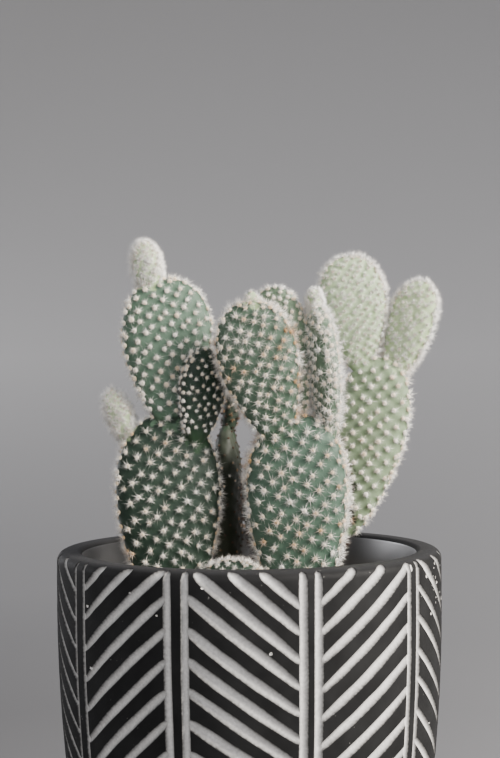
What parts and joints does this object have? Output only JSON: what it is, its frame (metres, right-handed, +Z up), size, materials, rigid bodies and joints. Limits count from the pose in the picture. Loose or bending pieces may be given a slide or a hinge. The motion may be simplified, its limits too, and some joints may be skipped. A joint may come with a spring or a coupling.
{
  "type": "potted cactus",
  "caption": "Bunny ear cactus: flattened oval pads dotted with bristle tufts, grown in jointed stems from soil in a straight-sided ceramic pot with carved chevrons.",
  "frame": {"origin": "middle of the pot's flat base, on the surface that it stands on", "axes": "+Z up, -Y towards the side seen in the picture, +X to its right"},
  "size_m": [0.1241, 0.12, 0.2119],
  "materials": {
    "pot": "satin",
    "soil": "matte",
    "cactus": "matte"
  },
  "bodies": {
    "root": {"pot": "pot", "soil": "soil", "cactus_left": "cactus", "cactus_middle": "cactus", "cactus_right": "cactus", "cactus_back": "cactus", "cactus_front": "cactus"}
  },
  "joints": []
}
